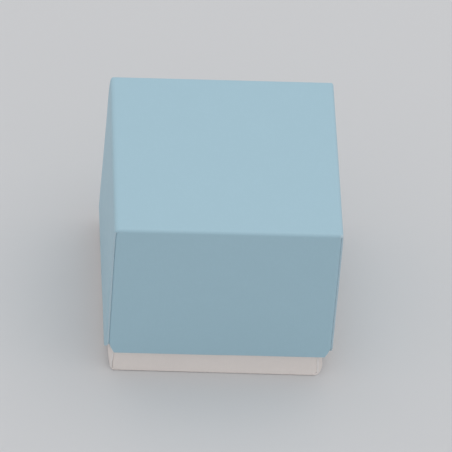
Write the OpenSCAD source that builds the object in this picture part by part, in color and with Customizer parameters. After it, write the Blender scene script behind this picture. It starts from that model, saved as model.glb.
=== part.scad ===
// A small two-piece card box: a lid whose walls slide down over a base.
// Lid and base are the same folded tray. The base stands upright, and the lid is turned over on top of it.
// Each tray is one sheet of card: a flat panel, four walls, and four corner flaps that are glued inside
// the side walls. Each panel of the sheet is a sub-part, and so is each film of glue.
// Millimetres. +Z is up, the front faces -Y, and the origin is the middle of the box's underside.

/* [Box] */
// Width of the lid across its top
box_w = 50; // [40:0.5:75]
// Depth of the lid, front to back
box_d = 50; // [40:0.5:75]
// Height of the closed box
box_h = 44; // [39:0.5:75]
// Height of the lid's walls
lid_h = 38; // [20:0.5:43]

/* [Card] */
// Thickness of the card
card_t = 0.45; // [0.3:0.05:0.6]
// Thickness of the dried glue
glue_t = 0.05; // [0.02:0.01:0.1]
// Outer radius of the creases between a flat panel and its walls
crease_r = 0.8; // [0.65:0.05:1.5]
// Outer radius of the bends between the front and back walls and their flaps
bend_r = 1.2; // [0.8:0.1:2]

/* [Corner flaps] */
// Length of a flap along the side wall, from the outside of the corner
flap_len = 13; // [8:0.5:20]
// Angle that the short edges of a flap are cut at
flap_taper = 12; // [0:1:20]
// Width of the pressed bead of glue
glue_w = 6; // [3:0.5:6]
// How far the upright edges of a side wall stop short of the front and the back
wall_setback = 0.2; // [0.05:0.05:0.3]

/* [Fit] */
// Gap all round between the base and the lid
fit_gap = 0.15; // [0.1:0.05:0.4]
// Gap between the rim of the base and the inside of the lid's creases when the lid is down
rest_gap = 0.05; // [0.02:0.01:0.1]
// How far the side walls of the lid spring outwards at their free edge
lid_flare = 0.6; // [0:0.1:1.2]
// Height of the cut across each corner of the lid's free edge
lid_clip_h = 3; // [0:0.5:5]
// Length of that cut along the side wall
lid_clip_w = 2.2; // [1:0.1:4]

/* [Colours] */
// Outside of the lid
lid_colour = "#A3BFCC"; // color
// Card of the base
base_colour = "#DDD5CE"; // color
// Dried glue
glue_colour = "#E8E2C8"; // color

/* [Hidden] */
$fn = 64;

FRONT = -1;
BACK = 1;
LEFT = -1;
RIGHT = 1;

// The base is as large as the lid's walls, glue and flaps leave room for.
base_w = box_w - 2 * (2 * card_t + glue_t + fit_gap);
base_d = box_d - 2 * (card_t + fit_gap);

// The lid comes down until the rounded inside of its front and back creases meets the rim of the base.
rim_under_crease = max(crease_r - card_t - fit_gap, 0);
crease_room = max(crease_r - card_t - rest_gap, rim_under_crease);
base_h = box_h - crease_r + sqrt(crease_room * crease_room - rim_under_crease * rim_under_crease);

// A tray is [width, depth, wall height, flare of the side walls, height of clip, length of clip].
BASE = [base_w, base_d, base_h, 0, 0, 0];
LID = [box_w, box_d, lid_h, lid_flare, lid_clip_h, lid_clip_w];

function width(tray) = tray[0];
function depth(tray) = tray[1];
function wall_h(tray) = tray[2];
function lean(tray) = atan(tray[3] / (wall_h(tray) - crease_r));
function clip_h(tray) = tray[4];
function clip_w(tray) = tray[5];

// Where the creases of the side walls turn, where the flaps lie inside them, and where the bends begin.
function crease_x(tray) = width(tray) / 2 - crease_r;
function flap_x(tray) = width(tray) / 2 - card_t - glue_t;
function bend_x(tray) = flap_x(tray) - bend_r;
function bend_y(tray) = depth(tray) / 2 - bend_r;

// Half the width of the front wall at a height: its upright edges follow the leaning side walls.
function front_half_w(tray, z) =
    crease_x(tray) + (bend_x(tray) - crease_x(tray)) / cos(lean(tray)) + (z - crease_r) * tan(lean(tray));

// The flaps start just clear of the creases, and taper from the bend to the tip.
flap_relief = 0.1;
function flap_tip_y(tray) = depth(tray) / 2 - flap_len;
function flap_rise(tray) = (bend_y(tray) - flap_tip_y(tray)) * tan(flap_taper);

glue_margin = 1.5;
beyond = 10;

// ---- Shapes shared by both trays, drawn for the right-hand side, with the open side of the tray up ----

// The section of a crease, from straight down round to where the wall starts.
module crease_section(wall_lean) {
    reach = 2 * crease_r;
    intersection() {
        difference() {
            circle(crease_r);
            circle(crease_r - card_t);
        }
        polygon([[0, 0], [0, -reach], [reach, -reach], [reach * cos(wall_lean), -reach * sin(wall_lean)]]);
    }
}

// A crease along Y whose ends are mitred to meet the creases of the neighbouring walls.
module crease(half_w, half_d, wall_lean) {
    inner_w = half_w - crease_r;
    inner_d = half_d - crease_r;
    intersection() {
        translate([inner_w, half_d, crease_r])
            rotate([90, 0, 0])
                linear_extrude(2 * half_d)
                    crease_section(wall_lean);
        linear_extrude(2 * crease_r)
            polygon([[inner_w, -inner_d], [half_w, -half_d], [half_w, half_d], [inner_w, inner_d]]);
    }
}

// Leans part of a side wall outwards about its crease.
module leaning(tray) {
    translate([crease_x(tray), 0, crease_r])
        rotate([0, lean(tray), 0])
            translate([-crease_x(tray), 0, -crease_r])
                children();
}

// An outline in Y and Z, extruded along X from x.
module upright(x, thickness) {
    translate([x, 0, 0])
        rotate([90, 0, 90])
            linear_extrude(thickness)
                children();
}

module side_wall_outline(tray) {
    edge_y = depth(tray) / 2 - wall_setback;
    rim_y = clip_h(tray) > 0 ? depth(tray) / 2 - clip_w(tray) : edge_y;
    rim_z = wall_h(tray);
    clip_z = rim_z - clip_h(tray);
    polygon([
        [-edge_y, crease_r], [edge_y, crease_r], [edge_y, clip_z], [rim_y, rim_z], [-rim_y, rim_z], [-edge_y, clip_z]
    ]);
}

module flap_outline(tray) {
    outer_y = depth(tray) / 2;
    start_y = bend_y(tray);
    tip_y = flap_tip_y(tray);
    low_z = crease_r + flap_relief;
    rim_z = wall_h(tray);
    clip_z = rim_z - clip_h(tray);
    polygon([
        [outer_y, low_z], [start_y, low_z], [tip_y, low_z + flap_rise(tray)],
        [tip_y, clip_z - flap_rise(tray)], [start_y, clip_z], [start_y, rim_z], [outer_y, rim_z]
    ]);
}

// The plan of a flap in the back right corner: the bend out of the back wall, then the tab that is glued.
module flap_plan(tray) {
    intersection() {
        translate([bend_x(tray), bend_y(tray)])
            difference() {
                circle(bend_r);
                circle(bend_r - card_t);
            }
        translate([bend_x(tray), bend_y(tray)])
            square(2 * bend_r);
    }
    translate([flap_x(tray) - card_t, flap_tip_y(tray)])
        square([card_t, bend_y(tray) - flap_tip_y(tray)]);
}

// The cut across a corner of the free edge, from the end of the wall to the outside of the bend.
module corner_clip(tray) {
    rim_z = wall_h(tray);
    clip_z = rim_z - clip_h(tray);
    translate([0, depth(tray) / 2 + beyond, 0])
        rotate([90, 0, 0])
            linear_extrude(bend_r + beyond)
                polygon([
                    [bend_x(tray), rim_z], [flap_x(tray), clip_z], [flap_x(tray) + beyond, clip_z],
                    [flap_x(tray) + beyond, rim_z + beyond], [bend_x(tray), rim_z + beyond]
                ]);
}

// ---- The panels of a tray ----

module flat_panel(tray) {
    size_x = width(tray) - 2 * crease_r;
    size_y = depth(tray) - 2 * crease_r;
    translate([-size_x / 2, -size_y / 2, 0])
        cube([size_x, size_y, card_t]);
}

// The front or back wall, with its crease.
module end_wall(tray, end) {
    half_d = depth(tray) / 2;
    low_w = front_half_w(tray, crease_r);
    high_w = front_half_w(tray, wall_h(tray));
    rotate([0, 0, end * 90]) {
        crease(half_d, width(tray) / 2, 0);
        upright(half_d - card_t, card_t)
            polygon([[-low_w, crease_r], [low_w, crease_r], [high_w, wall_h(tray)], [-high_w, wall_h(tray)]]);
    }
}

// The left or right wall, with its crease.
module side_wall(tray, side) {
    mirror([side == LEFT ? 1 : 0, 0, 0]) {
        crease(width(tray) / 2, depth(tray) / 2, lean(tray));
        leaning(tray)
            upright(width(tray) / 2 - card_t, card_t)
                side_wall_outline(tray);
    }
}

// Puts a part of the back right corner in any corner.
module in_corner(end, side) {
    mirror([side == LEFT ? 1 : 0, 0, 0])
        mirror([0, end == FRONT ? 1 : 0, 0])
            children();
}

module corner_flap(tray, end, side) {
    in_corner(end, side)
        leaning(tray)
            difference() {
                intersection() {
                    linear_extrude(wall_h(tray))
                        flap_plan(tray);
                    upright(bend_x(tray), 2 * bend_r)
                        flap_outline(tray);
                }
                if (clip_h(tray) > 0)
                    corner_clip(tray);
            }
}

// A bead of glue, pressed flat between a flap and its side wall.
module glue_film(tray, end, side) {
    middle_y = (bend_y(tray) + flap_tip_y(tray)) / 2;
    end_offset = flap_rise(tray) + glue_margin + glue_w / 2;
    low_z = crease_r + flap_relief + end_offset;
    high_z = wall_h(tray) - clip_h(tray) - end_offset;
    in_corner(end, side)
        leaning(tray)
            upright(flap_x(tray), glue_t) {
                translate([middle_y, low_z])
                    circle(glue_w / 2);
                translate([middle_y - glue_w / 2, low_z])
                    square([glue_w, high_z - low_z]);
                translate([middle_y, high_z])
                    circle(glue_w / 2);
            }
}

// ---- The base ----

module base_bottom_panel() {
    color(base_colour) flat_panel(BASE);
}

module base_front_wall() {
    color(base_colour) end_wall(BASE, FRONT);
}

module base_back_wall() {
    color(base_colour) end_wall(BASE, BACK);
}

module base_left_wall() {
    color(base_colour) side_wall(BASE, LEFT);
}

module base_right_wall() {
    color(base_colour) side_wall(BASE, RIGHT);
}

module base_flap(end, side) {
    color(base_colour) corner_flap(BASE, end, side);
}

module base_glue(end, side) {
    color(glue_colour) glue_film(BASE, end, side);
}

// ---- The lid, which is turned over so that its flat panel is on top ----

module turned_over() {
    translate([0, 0, box_h])
        mirror([0, 0, 1])
            children();
}

module lid_top_panel() {
    color(lid_colour) turned_over() flat_panel(LID);
}

module lid_front_wall() {
    color(lid_colour) turned_over() end_wall(LID, FRONT);
}

module lid_back_wall() {
    color(lid_colour) turned_over() end_wall(LID, BACK);
}

module lid_left_wall() {
    color(lid_colour) turned_over() side_wall(LID, LEFT);
}

module lid_right_wall() {
    color(lid_colour) turned_over() side_wall(LID, RIGHT);
}

module lid_flap(end, side) {
    color(lid_colour) turned_over() corner_flap(LID, end, side);
}

module lid_glue(end, side) {
    color(glue_colour) turned_over() glue_film(LID, end, side);
}

// ---- What is drawn ----

base_bottom_panel();
base_front_wall();
base_back_wall();
base_left_wall();
base_right_wall();
base_flap(FRONT, LEFT);  // base_front_left_flap
base_flap(FRONT, RIGHT);  // base_front_right_flap
base_flap(BACK, LEFT);  // base_back_left_flap
base_flap(BACK, RIGHT);  // base_back_right_flap
base_glue(FRONT, LEFT);  // base_front_left_glue
base_glue(FRONT, RIGHT);  // base_front_right_glue
base_glue(BACK, LEFT);  // base_back_left_glue
base_glue(BACK, RIGHT);  // base_back_right_glue
lid_top_panel();
lid_front_wall();
lid_back_wall();
lid_left_wall();
lid_right_wall();
lid_flap(FRONT, LEFT);  // lid_front_left_flap
lid_flap(FRONT, RIGHT);  // lid_front_right_flap
lid_flap(BACK, LEFT);  // lid_back_left_flap
lid_flap(BACK, RIGHT);  // lid_back_right_flap
lid_glue(FRONT, LEFT);  // lid_front_left_glue
lid_glue(FRONT, RIGHT);  // lid_front_right_glue
lid_glue(BACK, LEFT);  // lid_back_left_glue
lid_glue(BACK, RIGHT);  // lid_back_right_glue
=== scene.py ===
"""Looks of a small two-piece card box: a light blue lid over a cream base.

Lid and base are each one sheet of thin card, folded into a tray. Every panel, flap and film of glue is
remade here as a finely divided solid in the place that its CAD node holds, with soft creases, raw cut
edges, and the way that real folded card strays from its ideal shape. All lengths are in metres.
"""

import math

import bmesh
import bpy
import numpy as np
from mathutils import Matrix, Vector


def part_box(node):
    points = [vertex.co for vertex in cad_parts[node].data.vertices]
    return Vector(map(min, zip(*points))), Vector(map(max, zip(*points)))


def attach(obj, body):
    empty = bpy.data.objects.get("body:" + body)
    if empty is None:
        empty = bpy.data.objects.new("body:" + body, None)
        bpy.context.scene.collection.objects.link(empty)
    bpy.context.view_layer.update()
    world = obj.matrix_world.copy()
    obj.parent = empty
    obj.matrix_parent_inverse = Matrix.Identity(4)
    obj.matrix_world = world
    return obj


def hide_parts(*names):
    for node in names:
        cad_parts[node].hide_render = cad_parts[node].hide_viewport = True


MM = 0.001

FRONT, BACK = -1, 1
LEFT, RIGHT = -1, 1
END_NAMES = {FRONT: "front", BACK: "back"}
SIDE_NAMES = {LEFT: "left", RIGHT: "right"}

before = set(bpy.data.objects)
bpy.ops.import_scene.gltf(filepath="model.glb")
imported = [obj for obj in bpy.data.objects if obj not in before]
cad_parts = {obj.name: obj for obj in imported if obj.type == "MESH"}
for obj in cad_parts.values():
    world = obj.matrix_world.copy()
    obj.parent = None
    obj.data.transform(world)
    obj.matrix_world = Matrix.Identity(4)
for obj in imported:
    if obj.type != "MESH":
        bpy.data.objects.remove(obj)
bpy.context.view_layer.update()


# ---- The two trays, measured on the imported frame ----

FLAP_TAPER = math.tan(math.radians(12))
FLAP_RELIEF = 0.03 * MM

# A flap is pressed tight against its side wall for about this far past the bend.
PRESSED_LENGTH = 1.0 * MM

# The cut-off lower corners of the lid: how high, how far along, and how the cuts curve.
CLIP_H = 2.6 * MM
CLIP_L = 2.2 * MM
WALL_CLIP_CURVE = 1.3
FLAP_CLIP_CURVE = 1.2


class Tray:
    """A folded sheet as it lies with its flat panel down: z is the height above the panel's outer face."""

    def __init__(self, name, flat, turned_over, look):
        panel_lo, panel_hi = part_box(f"{name}_{flat}_panel")
        end_lo, end_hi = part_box(f"{name}_front_wall")
        _, flap_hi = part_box(f"{name}_front_right_flap")
        self.name = name
        self.flat = flat
        self.turned_over = turned_over
        self.look = look
        self.half_w = end_hi.x
        self.half_d = -end_lo.y
        self.card_t = panel_hi.z - panel_lo.z
        self.wall_h = end_hi.z - end_lo.z
        self.fold_z = end_hi.z if turned_over else end_lo.z
        self.flap_x = self.half_w - self.card_t - GLUE_T
        self.bend_x = self.flap_x - BEND_LENGTH
        self.tip_y = -flap_hi.y
        self.clip_h = CLIP_H if turned_over else 0.0

    def share(self, z):
        """How far up the walls a height is, from 0 at the crease to 1 at the free edge."""
        return np.clip(z / self.wall_h, 0, 1)

    def placed(self, points):
        """Moves points from the tray to where it is in the closed box."""
        moved = points.copy()
        moved[:, 2] = self.fold_z - points[:, 2] if self.turned_over else self.fold_z + points[:, 2]
        return moved


base_panel_lo, base_panel_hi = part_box("base_bottom_panel")
_, base_end_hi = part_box("base_front_wall")
base_flap_lo, base_flap_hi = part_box("base_front_right_flap")
GLUE_T = base_end_hi.x - (base_panel_hi.z - base_panel_lo.z) - base_flap_hi.x
BEND_LENGTH = base_flap_hi.x - base_flap_lo.x


# ---- How real card strays from the ideal fold ----


class Side:
    """How one side wall strays. It springs outwards by spring within a few millimetres of its crease, and
    leans outwards at its free edge by lean, given at the front and at the back. Its upright margins are
    tucked in by tuck, given at the crease, a little above it, and at the free edge. Its cut edges stop
    setback short of the front and the back."""

    def __init__(self, spring, lean, tuck, setback):
        self.spring = spring
        self.lean = lean
        self.tuck = tuck
        self.setback = setback


class Look:
    """How one tray is folded: the outer radii of its creases, of its flaps' bends, and of its upright
    corners in plan, and how rubbed each corner is. The lean of its side walls grows with the power
    lean_curve of the height. The foot of its front wall is kicked forwards by kick, given at the left and
    at the right."""

    def __init__(self, left, right, crease_r, bend_r, corner_r, lean_curve, kick, corner_wear):
        self.sides = {LEFT: left, RIGHT: right}
        self.crease_r = crease_r
        self.bend_r = bend_r
        self.corner_r = corner_r
        self.lean_curve = lean_curve
        self.kick = kick
        self.corner_wear = corner_wear


LID_LOOK = Look(
    left=Side(0.45 * MM, (0.15 * MM, 0.60 * MM), (0.0, 0.08 * MM, 0.55 * MM), 0.25 * MM),
    right=Side(0.15 * MM, (0.25 * MM, 0.25 * MM), (0.0, 0.0, 0.0), 0.55 * MM),
    crease_r=0.8 * MM,
    bend_r=0.6 * MM,
    corner_r=0.5 * MM,
    lean_curve=1,
    kick=(0.0, 0.0),
    corner_wear={(FRONT, RIGHT): 1.0, (FRONT, LEFT): 0.35, (BACK, LEFT): 0.45, (BACK, RIGHT): 0.6},
)
BASE_LOOK = Look(
    left=Side(0.80 * MM, (-0.75 * MM, -0.75 * MM), (0.1 * MM, 0.85 * MM, 0.46 * MM), 0.2 * MM),
    right=Side(-0.30 * MM, (0.20 * MM, 0.20 * MM), (1.3 * MM, 1.35 * MM, 0.7 * MM), 0.55 * MM),
    crease_r=0.55 * MM,
    bend_r=0.6 * MM,
    corner_r=0.8 * MM,
    lean_curve=1.5,
    kick=(0.30 * MM, 0.65 * MM),
    corner_wear={(FRONT, RIGHT): 0.5, (FRONT, LEFT): 0.4, (BACK, LEFT): 0.4, (BACK, RIGHT): 0.4},
)

SPRING_RISE = 1.5 * MM
KICK_RISE = 2.5 * MM
TUCK_REACH = 3.2 * MM
TUCK_CURVE = 1.6
LOW_TUCK_Z = 4.0 * MM
WALL_BOW = 0.10 * MM
BASE_BOW_SHARE = -0.5
PANEL_SAG = 0.12 * MM
SAG_FADE = 8
RIPPLE = 0.02 * MM

# The shares of a tray's half width or half depth between which a movement of one wall sets in.
SIDE_WALL_FROM, SIDE_WALL_TO = 0.7, 0.9
FRONT_WALL_FROM, FRONT_WALL_TO = 0.8, 0.94

LID = Tray("lid", "top", True, LID_LOOK)
BASE = Tray("base", "bottom", False, BASE_LOOK)


def smooth_step(value, low, high):
    t = np.clip((value - low) / (high - low), 0, 1)
    return t * t * (3 - 2 * t)


def with_round_corners(tray, p):
    """Rounds the tray's upright corners in plan."""
    q = p.copy()
    r = tray.look.corner_r
    past_x = np.abs(p[:, 0]) - (tray.half_w - r)
    past_y = np.abs(p[:, 1]) - (tray.half_d - r)
    far = np.hypot(past_x, past_y)
    inside = (past_x > 0) & (past_y > 0) & (far > 0)
    keep = np.where(inside, np.maximum(past_x, past_y) / np.where(inside, far, 1), 1)
    q[:, 0] -= np.sign(p[:, 0]) * np.where(inside, past_x * (1 - keep), 0)
    q[:, 1] -= np.sign(p[:, 1]) * np.where(inside, past_y * (1 - keep), 0)
    return q


def pushed_sideways(tray, p):
    """How far each point is moved along x by the side walls' spring, lean and tucked margins."""
    x, y, z = p.T
    share = tray.share(z)
    margin = np.clip(1 - (tray.half_d - np.abs(y)) / TUCK_REACH, 0, 1) ** TUCK_CURVE
    to_back = np.clip(0.5 + y / (2 * tray.half_d), 0, 1)
    move = np.zeros_like(x)
    for direction, side in tray.look.sides.items():
        near = smooth_step(direction * x, SIDE_WALL_FROM * tray.half_w, SIDE_WALL_TO * tray.half_w)
        sprung = side.spring * (1 - np.exp(-z / SPRING_RISE))
        lean_front, lean_back = side.lean
        leaning = (lean_front + (lean_back - lean_front) * to_back) * share**tray.look.lean_curve
        tucked = np.interp(z, (0, LOW_TUCK_Z, tray.wall_h), side.tuck) * margin
        move += direction * near * (sprung + leaning - tucked)
    return move


def kicked_forwards(tray, p):
    """How far the foot of the front wall is kicked forwards at each point."""
    x, y, z = p.T
    to_right = np.clip(0.5 + x / (2 * tray.half_w), 0, 1)
    near = smooth_step(-y, FRONT_WALL_FROM * tray.half_d, FRONT_WALL_TO * tray.half_d)
    kick_left, kick_right = tray.look.kick
    return near * (kick_left + (kick_right - kick_left) * to_right) * np.exp(-z / KICK_RISE)


def ripple(p, seed):
    """A faint long waviness, the same at every render."""
    x, y, z = p.T / MM
    wave = np.sin(0.31 * x + 0.17 * y + 0.23 * z + seed)
    wave += np.sin(-0.13 * x + 0.37 * y + 0.29 * z + 2.1 * seed)
    wave += np.sin(0.21 * x - 0.27 * y + 0.41 * z + 3.7 * seed)
    return RIPPLE * wave


def strayed(tray, p):
    """The tray's points after everything that folding does to real card."""
    q = with_round_corners(tray, p)
    q[:, 0] += pushed_sideways(tray, q)
    q[:, 1] -= kicked_forwards(tray, q)
    share = tray.share(p[:, 2])
    across, along = p[:, 0] / tray.half_w, p[:, 1] / tray.half_d
    middle_x, middle_y = np.clip(1 - across**2, 0, 1), np.clip(1 - along**2, 0, 1)
    outwards = 1 if tray.turned_over else BASE_BOW_SHARE
    bow = outwards * WALL_BOW * np.sin(math.pi * share)
    on_panel = middle_x * middle_y * (1 - share) ** SAG_FADE
    q[:, 1] += along * bow * middle_x + ripple(p, 1.0) * middle_x * share
    q[:, 0] += across * bow * middle_y + ripple(p, 2.0) * middle_y * share
    q[:, 2] += (PANEL_SAG + ripple(p, 3.0)) * on_panel
    return q


# ---- Building a panel of card ----

EDGE_ROUND = 0.06 * MM
RIM_SHARE = 0.3
SEAM_STEP = 0.03 * MM
SHARP_ANGLE = math.radians(55)
ARC_STEPS = 20
FINE_STEPS = [0.12 * MM, 0.3 * MM, 0.6 * MM, 1.0 * MM, 1.5 * MM, 2.0 * MM, 2.5 * MM, 3.0 * MM, 3.6 * MM]
COARSE_STEP = 1.3 * MM
OUTSIDE, INSIDE, CORE = 0, 1, 2


def stations(start, end):
    """Places along a length, close together near both ends."""
    length = end - start
    fine = [s for s in FINE_STEPS if s < 0.35 * length]
    count = max(2, round((length - 2 * fine[-1]) / COARSE_STEP))
    middle = list(np.linspace(fine[-1], length - fine[-1], count + 1))
    ends = [length - s for s in reversed(fine[:-1])]
    return start + np.array([0.0] + fine[:-1] + middle + ends + [length])


def grid_faces(rows, columns, first):
    """Quads over a grid of vertices that are numbered row by row from first."""
    faces = []
    for i in range(rows - 1):
        for j in range(columns - 1):
            a = first + i * columns + j
            faces.append((a, a + 1, a + columns + 1, a + columns))
    return faces


def perimeter(rows, columns):
    """Grid positions round the border, in order."""
    loop = [(0, j) for j in range(columns)]
    loop += [(i, columns - 1) for i in range(1, rows)]
    loop += [(rows - 1, j) for j in range(columns - 2, -1, -1)]
    loop += [(i, 0) for i in range(rows - 2, 0, -1)]
    return loop


def card_solid(us, vs, point, thickness, u_inset, v_inset):
    """Vertices, faces and face materials of a panel. point(u, v, h) places a point, with h from -1 on the
    inner face to 1 on the outer one. The insets round off the cut edges: u_inset holds one for each end of
    us, and v_inset one for each row, and they are 0 where a border meets the next panel."""
    rows, columns = len(us), len(vs)
    u_all, v_all = np.meshgrid(us, vs, indexing="ij")
    u_face, v_face = u_all.copy(), v_all.copy()
    u_face[0] += u_inset[0]
    u_face[-1] -= u_inset[1]
    v_face[:, 0] += v_inset
    v_face[:, -1] -= v_inset
    rim_h = 1 - 2 * min(EDGE_ROUND, RIM_SHARE * thickness) / thickness
    border = perimeter(rows, columns)
    rim_u = np.array([u_all[k] for k in border])
    rim_v = np.array([v_all[k] for k in border])
    vertices = np.concatenate([
        point(u_face.ravel(), v_face.ravel(), 1.0),
        point(u_face.ravel(), v_face.ravel(), -1.0),
        point(rim_u, rim_v, rim_h),
        point(rim_u, rim_v, -rim_h),
    ])
    size, count = rows * columns, len(border)
    faces = grid_faces(rows, columns, 0) + grid_faces(rows, columns, size)
    materials = [OUTSIDE] * (len(faces) // 2) + [INSIDE] * (len(faces) // 2)
    outer = [i * columns + j for i, j in border]
    rings = [outer, range(2 * size, 2 * size + count), range(2 * size + count, 2 * size + 2 * count)]
    rings.append([size + k for k in outer])
    for upper, lower in zip(rings, rings[1:]):
        for k in range(count):
            after = (k + 1) % count
            faces.append((upper[k], upper[after], lower[after], lower[k]))
            materials.append(CORE)
    return vertices, faces, materials


# The ridge's distance from the sharp corner, as a share of the fold's radius.
RIDGE_NEAREST = 0.41


def ridge(distance, radius):
    """1 on the ridge of a fold, falling to 0 where the card is flat again. The distance is measured from
    the sharp corner that the fold rounds off."""
    return np.clip(1 - (distance / radius - RIDGE_NEAREST) / (1 - RIDGE_NEAREST), 0, 1)


def fold_closeness(tray, p):
    """How close each point is to the nearest fold's ridge, from 0 to 1."""
    x, y, z = np.abs(p).T
    from_side, from_end = tray.half_w - x, tray.half_d - y
    from_flap = from_side - tray.half_w + tray.flap_x
    side_crease = ridge(np.hypot(from_side, z), tray.look.crease_r)
    end_crease = ridge(np.hypot(from_end, z), tray.look.crease_r)
    bend = ridge(np.hypot(from_flap, from_end), tray.look.bend_r)
    return np.maximum(np.maximum(side_crease, end_crease), bend)


CORNER_REACH = 0.7 * MM
CORNER_SQUASH = 0.4


def corner_closeness(tray, p):
    """1 at a badly rubbed corner of the flat panel, falling to 0 within a few millimetres down its edge."""
    close = np.zeros(len(p))
    for (end, side), wear in tray.look.corner_wear.items():
        away = p - np.array([side * tray.half_w, end * tray.half_d, tray.look.crease_r])
        away[:, 2] *= CORNER_SQUASH
        close = np.maximum(close, wear * np.exp(-(away**2).sum(axis=1) / CORNER_REACH**2))
    return close


def face_outwards(mesh):
    """Turns the faces of a closed mesh so that they all face outwards."""
    bm = bmesh.new()
    bm.from_mesh(mesh)
    bmesh.ops.recalc_face_normals(bm, faces=bm.faces)
    bm.to_mesh(mesh)
    bm.free()


def add_attribute(mesh, name, values):
    attribute = mesh.attributes.new(name, "FLOAT", "POINT")
    attribute.data.foreach_set("value", values.astype(np.float32))


def make_piece(tray, name, cad_node, solid, materials):
    """Makes the piece's mesh as real card would be, ties it to its body, and hides its CAD node."""
    vertices, faces, face_materials = solid
    mesh = bpy.data.meshes.new(name)
    mesh.from_pydata([tuple(v) for v in tray.placed(strayed(tray, vertices))], [], faces)
    for material in materials:
        mesh.materials.append(material)
    mesh.polygons.foreach_set("material_index", face_materials)
    add_attribute(mesh, "fold", fold_closeness(tray, vertices))
    add_attribute(mesh, "corner", corner_closeness(tray, vertices))
    face_outwards(mesh)
    mesh.polygons.foreach_set("use_smooth", [True] * len(mesh.polygons))
    mesh.set_sharp_from_angle(angle=SHARP_ANGLE)
    piece = bpy.data.objects.new(name, mesh)
    bpy.context.scene.collection.objects.link(piece)
    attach(piece, tray.name)
    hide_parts(cad_node)


# ---- The shapes of the panels, drawn on the right and at the back, with the tray's flat panel down ----


def panel_solid(tray):
    """The flat panel, which runs on into a crease on all four sides."""
    half_x = tray.half_w - tray.look.crease_r
    half_y = tray.half_d - tray.look.crease_r

    def point(u, v, h):
        z = np.full_like(u, tray.card_t / 2 * (1 - h))
        return np.stack([half_x * (2 * v - 1), u, z], -1)

    us = stations(-half_y, half_y)
    vs = stations(0, 2 * half_x) / (2 * half_x)
    return card_solid(us, vs, point, tray.card_t, (0, 0), np.zeros(len(us)))


def wall_solid(tray, half_n, half_l, half_length, cut):
    """A wall and its crease, standing half_n out from the middle. half_length(z) is half the wall's length
    above the crease, and cut says whether its upright edges are cut ones."""
    crease_r = tray.look.crease_r
    middle_r = crease_r - tray.card_t / 2
    arc_length = middle_r * math.pi / 2

    def point(u, v, h):
        radius = middle_r + h * tray.card_t / 2
        angle = np.minimum(u / middle_r, math.pi / 2)
        out = half_n - crease_r + radius * np.sin(angle)
        up = crease_r - radius * np.cos(angle) + np.maximum(u - arc_length, 0)
        mitred = half_l - (half_n - out)
        reach = np.where(u <= arc_length + SEAM_STEP / 2, mitred, half_length(up))
        return np.stack([out, reach * (2 * v - 1), up], -1)

    arc = np.linspace(0, arc_length, ARC_STEPS + 1)
    upright = stations(arc_length + SEAM_STEP, arc_length + tray.wall_h - crease_r)
    us = np.concatenate([arc, upright])
    vs = stations(0, 2 * half_l) / (2 * half_l)
    v_inset = np.where(us > arc_length, cut * EDGE_ROUND / (2 * half_l), 0)
    return card_solid(us, vs, point, tray.card_t, (0, EDGE_ROUND), v_inset)


def end_wall_solid(tray, end):
    """The front or back wall: its upright edges run on into the flaps."""

    def half_length(z):
        return np.full_like(z, tray.bend_x)

    vertices, faces, materials = wall_solid(tray, tray.half_d, tray.half_w, half_length, 0)
    vertices = np.stack([vertices[:, 1], end * vertices[:, 0], vertices[:, 2]], -1)
    return vertices, faces, materials


def side_wall_solid(tray, side):
    """The left or right wall: its upright edges are cut, and so are its corners if the tray has clips."""
    edge_y = tray.half_d - tray.look.sides[side].setback
    rim_y = tray.half_d - CLIP_L

    def half_length(z):
        if not tray.clip_h:
            return np.full_like(z, edge_y)
        rise = np.clip((z - tray.wall_h + tray.clip_h) / tray.clip_h, 0, 1)
        return edge_y - (edge_y - rim_y) * rise**WALL_CLIP_CURVE

    vertices, faces, materials = wall_solid(tray, tray.half_w, tray.half_d, half_length, 1)
    return vertices * np.array([side, 1, 1]), faces, materials


def flap_solid(tray, end, side):
    """A corner flap: out of the end wall, round the upright bend, and back along inside the side wall. It
    is pressed against the side wall at the bend, and stands off it by the glue further on."""
    bend_r = tray.look.bend_r
    flat = BEND_LENGTH - bend_r
    tab = tray.half_d - bend_r - tray.tip_y

    def point(u, v, h):
        turn = np.clip(u - 1, 0, 1) * math.pi / 2
        along = np.clip(u - 2, 0, 1) * tab
        radius = bend_r - tray.card_t / 2 * (1 - h)
        pressed = GLUE_T * np.clip(u - 1, 0, 1) * np.exp(-along / PRESSED_LENGTH)
        x = tray.bend_x + np.clip(u, 0, 1) * flat + radius * np.sin(turn) + pressed
        y = tray.half_d - bend_r + radius * np.cos(turn) - along
        cut_off = np.clip((x - tray.bend_x) / BEND_LENGTH, 0, 1) ** FLAP_CLIP_CURVE
        low = tray.look.crease_r + FLAP_RELIEF + along * FLAP_TAPER
        high = tray.wall_h - tray.clip_h * cut_off - along * FLAP_TAPER
        return np.stack([side * x, end * y, low + (high - low) * v], -1)

    tab_steps = 2 + stations(0, tab) / tab
    us = np.concatenate([np.linspace(0, 1, 5), np.linspace(1, 2, ARC_STEPS + 1)[1:], tab_steps[1:]])
    vs = stations(0, tray.wall_h) / tray.wall_h
    v_inset = np.full(len(us), EDGE_ROUND / tray.wall_h)
    return card_solid(us, vs, point, tray.card_t, (0, EDGE_ROUND / tab), v_inset)


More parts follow.
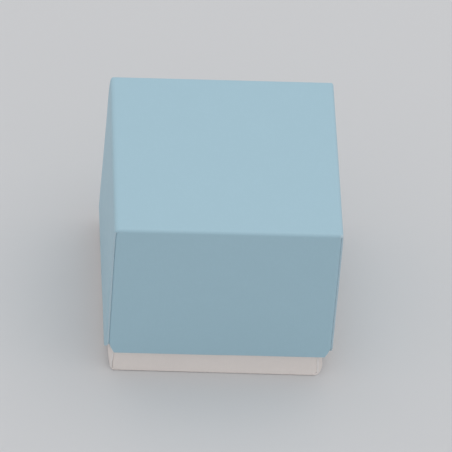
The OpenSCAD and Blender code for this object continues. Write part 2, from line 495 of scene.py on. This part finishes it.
def glue_solid(tray, end, side):
    """A bead of glue, squeezed out unevenly between a flap and its side wall."""
    lo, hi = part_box(f"{tray.name}_{END_NAMES[end]}_{SIDE_NAMES[side]}_glue")
    half_height = (hi.z - lo.z) / 2
    half_width = (hi.y - lo.y) / 2
    middle_y = abs(hi.y + lo.y) / 2
    middle_z = abs((hi.z + lo.z) / 2 - tray.fold_z)

    def point(u, v, h):
        from_end = np.clip((half_height - np.abs(u)) / half_width, 0, 1)
        round_end = np.sqrt(np.clip(1 - (1 - from_end) ** 2, 0.0004, 1))
        uneven = 0.88 + 0.12 * np.sin(0.9 * u / MM + side) * np.cos(0.37 * u / MM + end)
        y = middle_y + half_width * round_end * uneven * (2 * v - 1)
        x = np.full_like(u, tray.flap_x + GLUE_T / 2 * (1 + h))
        return np.stack([side * x, end * y, middle_z + u], -1)

    us = stations(-half_height, half_height)
    return card_solid(us, np.linspace(0, 1, 9), point, GLUE_T, (0, 0), np.zeros(len(us)))


# ---- Materials ----


class Shader:
    """A material's node tree, with short ways to add and join nodes."""

    def __init__(self, name):
        self.material = bpy.data.materials.new(name)
        self.material.use_nodes = True
        self.tree = self.material.node_tree
        self.bsdf = self.tree.nodes["Principled BSDF"]
        place = self.add("ShaderNodeTexCoord").outputs["Object"]
        per_mm = {0: place, 1: (1 / MM,) * 3}
        self.mm = self.add("ShaderNodeVectorMath", per_mm, operation="MULTIPLY").outputs[0]

    def join(self, value, socket):
        """Sets an input to a value, or links it to another node's output."""
        if isinstance(value, bpy.types.NodeSocket):
            self.tree.links.new(value, socket)
        else:
            socket.default_value = value

    def add(self, kind, inputs=None, **settings):
        made = self.tree.nodes.new(kind)
        for key, value in settings.items():
            setattr(made, key, value)
        for key, value in (inputs or {}).items():
            self.join(value, made.inputs[key])
        return made

    def noise(self, per_mm, detail=2.0, roughness=0.5, stretch=(1, 1, 1), turn=(0, 0, 0)):
        """Noise from 0 to 1, with about that many features in a millimetre."""
        mapping = self.add("ShaderNodeMapping", {"Vector": self.mm, "Rotation": turn, "Scale": stretch})
        inputs = {"Vector": mapping.outputs[0], "Scale": per_mm, "Detail": detail, "Roughness": roughness}
        return self.add("ShaderNodeTexNoise", inputs).outputs["Fac"]

    def math(self, operation, a, b=0.0):
        return self.add("ShaderNodeMath", {0: a, 1: b}, operation=operation).outputs[0]

    def scaled(self, value, low, high, to_low=0.0, to_high=1.0):
        inputs = {"Value": value, "From Min": low, "From Max": high, "To Min": to_low, "To Max": to_high}
        return self.add("ShaderNodeMapRange", inputs).outputs[0]

    def mix(self, factor, a, b):
        made = self.add("ShaderNodeMix", data_type="RGBA")
        factor_in = next(s for s in made.inputs if s.identifier == "Factor_Float")
        a_in = next(s for s in made.inputs if s.identifier == "A_Color")
        b_in = next(s for s in made.inputs if s.identifier == "B_Color")
        self.join(factor, factor_in)
        self.join(a, a_in)
        self.join(b, b_in)
        return next(s for s in made.outputs if s.identifier == "Result_Color")

    def attribute(self, name):
        return self.add("ShaderNodeAttribute", attribute_name=name).outputs["Fac"]

    def bump(self, height, depth):
        """Relief that is depth high from 0 to 1."""
        made = self.add("ShaderNodeBump", {"Height": height, "Distance": depth, "Strength": 1.0})
        self.tree.links.new(made.outputs[0], self.bsdf.inputs["Normal"])

    def surface(self, colour, roughness):
        self.join(colour, self.bsdf.inputs["Base Color"])
        self.join(roughness, self.bsdf.inputs["Roughness"])


def shade(colour, by):
    """A colour made lighter or darker."""
    return tuple(min(1.0, c * by) for c in colour[:3]) + (1.0,)


def card_face(name, colour, core, cloud, wear, rough, grain):
    """A face of the card: cloudy formation, short fibres, a fine tooth, and folds rubbed to the core.
    cloud is the depth of its mottling, wear how far its folds are rubbed, and grain its relief."""
    s = Shader(name)
    clouds = s.noise(0.16, detail=4, roughness=0.62)
    mottle = s.noise(1.1, detail=3, roughness=0.6)
    fibres_one = s.noise(2.6, detail=3, roughness=0.7, stretch=(1.0, 0.22, 0.3), turn=(0.3, 0.2, 0.6))
    fibres_two = s.noise(2.9, detail=3, roughness=0.7, stretch=(0.25, 1.0, 0.35), turn=(0.5, 0.9, 0.2))
    fibres = s.math("MULTIPLY", fibres_one, fibres_two)
    tooth = s.noise(7.0, detail=2, roughness=0.6)
    toned = s.mix(s.scaled(clouds, 0.3, 0.7), shade(colour, 1 - cloud), shade(colour, 1 + cloud))
    flecked = s.mix(s.scaled(fibres, 0.12, 0.42), shade(colour, 1 - 1.6 * cloud), toned)
    speckled = s.mix(s.scaled(mottle, 0.62, 0.85, 0.0, 0.5), flecked, shade(colour, 1 + 2 * cloud))
    patches = s.scaled(s.noise(2.2, detail=4, roughness=0.7), 0.5, 0.72)
    rubbed = s.scaled(s.math("MULTIPLY", s.attribute("fold"), patches), 0.35, 0.95, 0.0, wear)
    ragged = s.scaled(mottle, 0.3, 0.7, -0.15, 0.15)
    chipped = s.scaled(s.math("ADD", s.attribute("corner"), ragged), 0.3, 0.6)
    s.surface(
        s.mix(s.math("MAXIMUM", rubbed, chipped), speckled, core),
        s.scaled(mottle, 0.3, 0.7, rough - 0.05, rough + 0.05),
    )
    s.bsdf.inputs["Specular IOR Level"].default_value = 0.5
    relief = s.math("ADD", s.math("MULTIPLY", fibres, 1.4), s.math("MULTIPLY", tooth, 0.5))
    s.bump(s.math("ADD", relief, s.math("MULTIPLY", mottle, 0.5)), grain)
    return s.material


def card_core(name, colour):
    """The cut edge of the card: pressed plies of fibre, rough from the die."""
    s = Shader(name)
    fluff = s.noise(3.5, detail=4, roughness=0.7)
    plies = s.noise(6.0, detail=2, stretch=(1, 1, 0.2))
    tone = s.mix(s.scaled(fluff, 0.3, 0.7), shade(colour, 0.92), shade(colour, 1.05))
    s.surface(tone, s.scaled(plies, 0.3, 0.7, 0.75, 0.9))
    s.bump(s.math("ADD", fluff, plies), 0.02 * MM)
    return s.material


def dried_glue(name):
    """A dried film of white glue, slightly glossy, with trapped bubbles."""
    s = Shader(name)
    uneven = s.noise(0.9, detail=3)
    bubbles = s.add("ShaderNodeTexVoronoi", {"Vector": s.mm, "Scale": 1.6}).outputs["Distance"]
    s.surface(s.mix(uneven, GLUE_DULL, GLUE_PALE), s.scaled(uneven, 0.3, 0.7, 0.3, 0.45))
    s.bump(s.math("ADD", uneven, s.scaled(bubbles, 0.0, 0.2)), 0.01 * MM)
    return s.material


LID_BLUE = (0.385, 0.575, 0.665, 1.0)
LID_CORE = (0.480, 0.620, 0.690, 1.0)
LID_INSIDE = (0.430, 0.595, 0.680, 1.0)
BASE_CREAM = (0.830, 0.765, 0.725, 1.0)
BASE_CORE = (0.830, 0.790, 0.765, 1.0)
GLUE_DULL = (0.78, 0.74, 0.62, 1.0)
GLUE_PALE = (0.88, 0.85, 0.76, 1.0)

FACE_GRAIN = 0.012 * MM
PLAIN_GRAIN = 0.018 * MM

lid_face = card_face("lid_card_face", LID_BLUE, LID_CORE, 0.012, 0.5, 0.45, FACE_GRAIN)
lid_inside = card_face("lid_card_inside", LID_INSIDE, LID_CORE, 0.02, 0.0, 0.7, PLAIN_GRAIN)
base_face = card_face("base_card_face", BASE_CREAM, BASE_CORE, 0.015, 0.3, 0.7, PLAIN_GRAIN)
lid_edge = card_core("lid_cut_edge", LID_CORE)
base_edge = card_core("base_cut_edge", BASE_CORE)
glue = dried_glue("dried_glue")


# ---- Making every piece ----


def make_tray(tray, card_materials):
    """Every panel, flap and film of glue of one tray."""

    def card(node, solid):
        make_piece(tray, f"{node}_card", node, solid, card_materials)

    card(f"{tray.name}_{tray.flat}_panel", panel_solid(tray))
    for end, end_name in END_NAMES.items():
        card(f"{tray.name}_{end_name}_wall", end_wall_solid(tray, end))
    for side, side_name in SIDE_NAMES.items():
        card(f"{tray.name}_{side_name}_wall", side_wall_solid(tray, side))
    for end, end_name in END_NAMES.items():
        for side, side_name in SIDE_NAMES.items():
            corner = f"{tray.name}_{end_name}_{side_name}"
            card(f"{corner}_flap", flap_solid(tray, end, side))
            film = glue_solid(tray, end, side)
            make_piece(tray, f"{corner}_glue_film", f"{corner}_glue", film, [glue] * 3)


make_tray(LID, [lid_face, lid_inside, lid_edge])
make_tray(BASE, [base_face, base_face, base_edge])


# ---- Floor, light and camera ----


def floor_material():
    """Plain pale board with a very faint unevenness."""
    s = Shader("studio_floor")
    tone = s.noise(0.01, detail=2)
    s.surface(s.mix(tone, (0.640, 0.640, 0.645, 1.0), (0.665, 0.665, 0.670, 1.0)), 0.85)
    return s.material


FLOOR_HALF_WIDTH = 3.0


def make_floor():
    half = FLOOR_HALF_WIDTH
    mesh = bpy.data.meshes.new("floor")
    corners = [(-half, -half, 0), (half, -half, 0), (half, half, 0), (-half, half, 0)]
    mesh.from_pydata(corners, [], [(0, 1, 2, 3)])
    mesh.materials.append(floor_material())
    floor = bpy.data.objects.new("floor", mesh)
    bpy.context.scene.collection.objects.link(floor)


def make_softbox(name, place, target, size, power, colour):
    """A square area light at place, aimed at target."""
    light = bpy.data.lights.new(name, "AREA")
    light.shape = "SQUARE"
    light.size = size
    light.energy = power
    light.color = colour
    lamp = bpy.data.objects.new(name, light)
    lamp.location = place
    lamp.rotation_euler = (Vector(target) - Vector(place)).to_track_quat("-Z", "Y").to_euler()
    bpy.context.scene.collection.objects.link(lamp)


def make_world(colour, strength):
    world = bpy.data.worlds.new("studio")
    world.use_nodes = True
    background = world.node_tree.nodes["Background"]
    background.inputs["Color"].default_value = colour
    background.inputs["Strength"].default_value = strength
    bpy.context.scene.world = world


CAMERA_AZIMUTH = math.radians(-5.427)
CAMERA_ELEVATION = math.radians(43.693)
CAMERA_ROLL = math.radians(5.176)
CAMERA_DISTANCE = 1347.6 * MM
CAMERA_LENS = 477.88
CAMERA_AIM = Vector((1.387 * MM, 0.0, LID.fold_z / 2 + 0.055 * MM))


def make_camera():
    """The camera looks down on the front from a little left, far back with a long lens, and is rolled."""
    data = bpy.data.cameras.new("camera")
    data.sensor_width = 36.0
    data.lens = CAMERA_LENS
    data.clip_start = 0.05
    data.clip_end = 20.0
    camera = bpy.data.objects.new("camera", data)
    back = Vector((0, -math.cos(CAMERA_ELEVATION), math.sin(CAMERA_ELEVATION)))
    back.rotate(Matrix.Rotation(CAMERA_AZIMUTH, 3, "Z"))
    camera.location = CAMERA_AIM + back * CAMERA_DISTANCE
    level = (-back).to_track_quat("-Z", "Y").to_matrix().to_4x4()
    camera.rotation_euler = (level @ Matrix.Rotation(CAMERA_ROLL, 4, "Z")).to_euler()
    bpy.context.scene.collection.objects.link(camera)
    bpy.context.scene.camera = camera


make_floor()
make_world(colour=(0.97, 0.98, 1.0, 1.0), strength=0.76)
make_softbox("overhead", place=(0.15, 0.05, 1.0), target=(0, 0, 0), size=0.9, power=2.0, colour=(1, 1, 1))
make_camera()

bpy.context.scene.view_settings.view_transform = "Standard"
